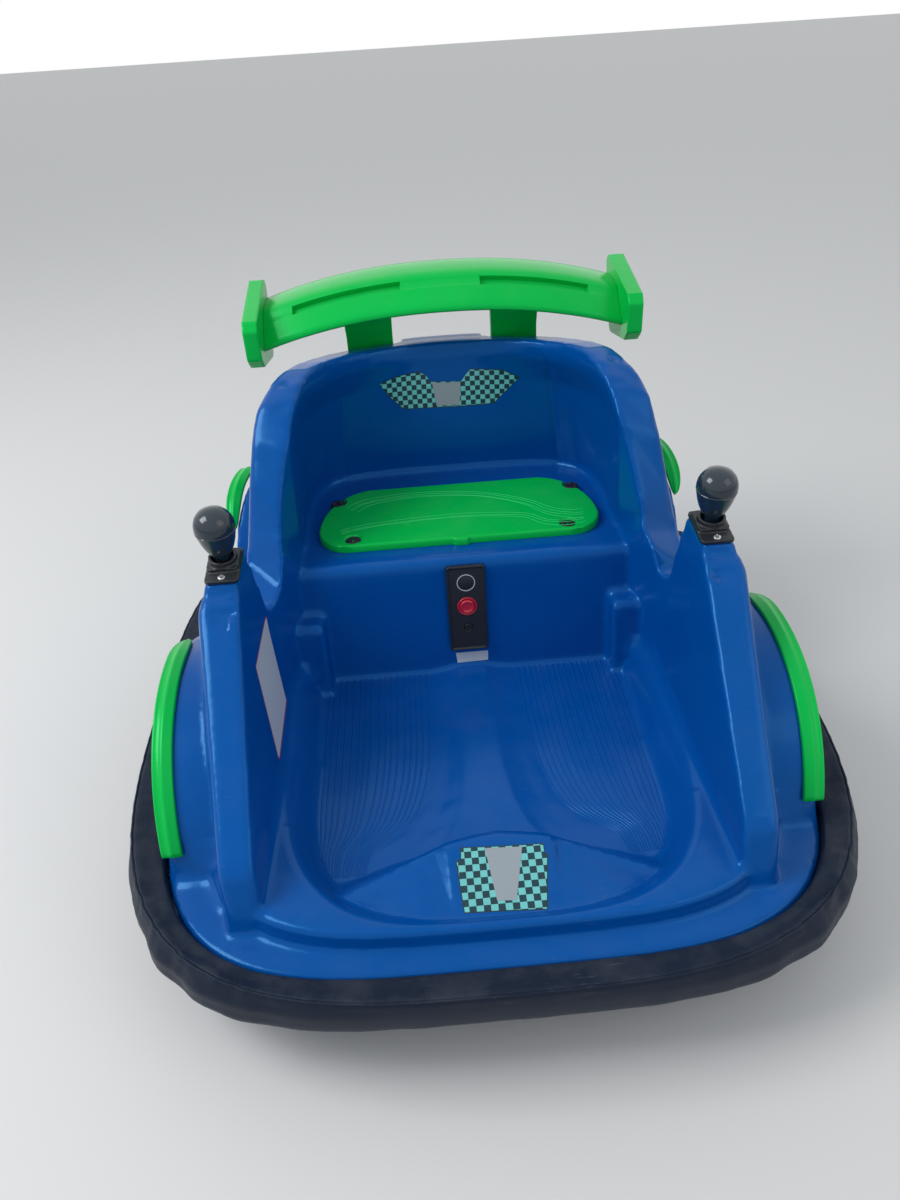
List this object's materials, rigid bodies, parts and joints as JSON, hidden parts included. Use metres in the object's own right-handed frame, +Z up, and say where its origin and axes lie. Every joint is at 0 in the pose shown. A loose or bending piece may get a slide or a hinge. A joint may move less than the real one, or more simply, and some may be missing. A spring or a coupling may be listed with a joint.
{
  "type": "children's ride-on bumper car",
  "caption": "Small child's battery ride-on bumper car: glossy tub body with side consoles, soft bumper ring, two sprung sticks, rear spoiler, driven wheels and casters.",
  "frame": {"origin": "centre of the footprint on the floor", "axes": "+Z up, front towards -Y, +X to the right seen from the front"},
  "size_m": [0.65, 0.72, 0.4442],
  "materials": {
    "blue_plastic": "glossy moulded",
    "black_plastic": "satin",
    "black_vinyl": "soft grained vinyl cover",
    "green_plastic": "glossy moulded",
    "red_plastic": "glossy",
    "knob_plastic": "polished",
    "steel": "zinc plated",
    "wheel_plastic": "hard moulded"
  },
  "bodies": {
    "car": {"body_shell": "blue_plastic", "chassis_pan": "black_plastic", "bumper_ring": "black_vinyl", "seat_plate": "green_plastic", "seat_fixings": "black_plastic", "control_panel": "black_plastic", "power_button": "red_plastic", "charge_socket": "black_plastic", "joystick_base_left": "black_plastic", "joystick_base_right": "black_plastic", "fender_front_left": "green_plastic", "fender_front_right": "green_plastic", "fender_rear_left": "green_plastic", "fender_rear_right": "green_plastic", "spoiler_wing": "green_plastic", "spoiler_end_left": "green_plastic", "spoiler_end_right": "green_plastic", "spoiler_strut_left": "green_plastic", "spoiler_strut_right": "green_plastic", "gearbox_left": "black_plastic", "gearbox_right": "black_plastic", "caster_mount_front": "steel", "caster_mount_rear": "steel", "battery_block": "black_plastic"},
    "drive_left": {"drive_axle_left": "steel", "drive_hub_left": "black_plastic", "drive_tyre_left": "wheel_plastic"},
    "drive_right": {"drive_axle_right": "steel", "drive_hub_right": "black_plastic", "drive_tyre_right": "wheel_plastic"},
    "swivel_front": {"caster_fork_front": "steel"},
    "swivel_rear": {"caster_fork_rear": "steel"},
    "roller_front": {"caster_wheel_front": "wheel_plastic"},
    "roller_rear": {"caster_wheel_rear": "wheel_plastic"},
    "stick_left": {"joystick_left": "knob_plastic"},
    "stick_right": {"joystick_right": "knob_plastic"}
  },
  "joints": [
    {"name": "drive_wheel_left", "type": "hinge", "parent": "car", "child": "drive_left", "pos_m": [-0.218, 0.06, 0.052], "axis": [1, 0, 0], "continuous": true},
    {"name": "drive_wheel_right", "type": "hinge", "parent": "car", "child": "drive_right", "pos_m": [0.218, 0.06, 0.052], "axis": [1, 0, 0], "continuous": true},
    {"name": "caster_swivel_front", "type": "hinge", "parent": "car", "child": "swivel_front", "pos_m": [0, -0.245, 0.05], "axis": [0, 0, 1], "continuous": true},
    {"name": "caster_roller_front", "type": "hinge", "parent": "swivel_front", "child": "roller_front", "pos_m": [0, -0.229, 0.019], "axis": [1, 0, 0], "continuous": true},
    {"name": "caster_swivel_rear", "type": "hinge", "parent": "car", "child": "swivel_rear", "pos_m": [0, 0.245, 0.05], "axis": [0, 0, 1], "continuous": true},
    {"name": "caster_roller_rear", "type": "hinge", "parent": "swivel_rear", "child": "roller_rear", "pos_m": [0, 0.261, 0.019], "axis": [1, 0, 0], "continuous": true},
    {"name": "joystick_left", "type": "hinge", "parent": "car", "child": "stick_left", "pos_m": [-0.2165, -0.03843, 0.28869], "axis": [1, 0, 0], "range_deg": [-18, 18], "stiffness_Nm_per_rad": 0.5},
    {"name": "joystick_right", "type": "hinge", "parent": "car", "child": "stick_right", "pos_m": [0.2165, -0.03843, 0.28869], "axis": [1, 0, 0], "range_deg": [-18, 18], "stiffness_Nm_per_rad": 0.5}
  ]
}
